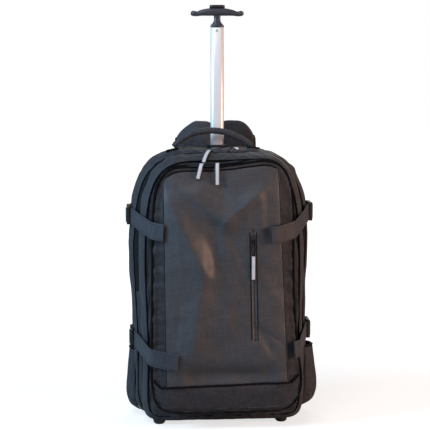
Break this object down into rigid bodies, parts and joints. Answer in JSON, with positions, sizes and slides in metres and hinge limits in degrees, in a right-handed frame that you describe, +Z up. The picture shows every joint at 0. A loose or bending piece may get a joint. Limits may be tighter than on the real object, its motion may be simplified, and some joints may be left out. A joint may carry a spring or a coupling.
{
  "type": "wheeled backpack",
  "caption": "Upright wheeled backpack with a one-post telescopic handle, front pocket, side pouches, compression straps and padded shoulder straps.",
  "frame": {"origin": "on the floor, under the middle of the bounding box, with the bag standing on its wheels and front feet and its handle pulled out", "axes": "+Z up; the front faces -Y; +X is the right of the front view"},
  "size_m": [0.372, 0.2388, 0.7865],
  "materials": {
    "cloth": "coated weave",
    "panel": "smooth laminated cloth",
    "webbing": "ribbed webbing",
    "zip": "woven tape with a coil",
    "pull": "silver-grey tape",
    "plastic": "soft-touch",
    "black_plastic": "moulded",
    "aluminium": "satin anodised",
    "tyre": "matt rubber"
  },
  "bodies": {
    "bag": {"pocket_shell": "cloth", "lower_panel": "cloth", "rear_shell": "cloth", "main_shell": "cloth", "main_gusset": "cloth", "pocket_gusset": "cloth", "side_pocket_left": "cloth", "side_pocket_right": "cloth", "back_pad": "cloth", "shoulder_strap_left": "cloth", "shoulder_strap_right": "cloth", "grab_handle": "cloth", "front_panel": "panel", "strap_webbing_left": "webbing", "strap_webbing_right": "webbing", "compression_strap_upper_left": "webbing", "compression_strap_upper_right": "webbing", "compression_strap_lower_left": "webbing", "compression_strap_lower_right": "webbing", "rear_strap_upper_left": "webbing", "rear_strap_upper_right": "webbing", "rear_strap_lower_left": "webbing", "rear_strap_lower_right": "webbing", "main_zip": "zip", "pocket_zip": "zip", "panel_zip": "zip", "main_pull_left": "pull", "main_pull_right": "pull", "pocket_pull_left": "pull", "pocket_pull_middle": "pull", "panel_pull": "pull", "tube_collar": "black_plastic", "wheel_housing_left": "black_plastic", "wheel_housing_right": "black_plastic", "front_foot_left": "black_plastic", "front_foot_right": "black_plastic", "buckle_upper_left": "black_plastic", "buckle_upper_right": "black_plastic", "buckle_lower_left": "black_plastic", "buckle_lower_right": "black_plastic", "outer_tube": "aluminium"},
    "handle": {"inner_tube": "aluminium", "handle_grip": "plastic"},
    "button": {"handle_button": "plastic"},
    "wheel_left": {"tyre_left": "tyre", "hub_left": "black_plastic"},
    "wheel_right": {"tyre_right": "tyre", "hub_right": "black_plastic"}
  },
  "joints": [
    {"name": "handle_slide", "type": "slide", "parent": "bag", "child": "handle", "axis": [0, 0, 1], "range_m": [-0.22, 0]},
    {"name": "button_press", "type": "slide", "parent": "handle", "child": "button", "axis": [0, 0, -1], "range_m": [0, 0.003], "stiffness_N_per_m": 500},
    {"name": "wheel_left_spin", "type": "hinge", "parent": "bag", "child": "wheel_left", "pos_m": [-0.13648, 0.06745, 0.027], "axis": [1, 0, 0], "continuous": true},
    {"name": "wheel_right_spin", "type": "hinge", "parent": "bag", "child": "wheel_right", "pos_m": [0.11952, 0.06745, 0.027], "axis": [1, 0, 0], "continuous": true}
  ]
}
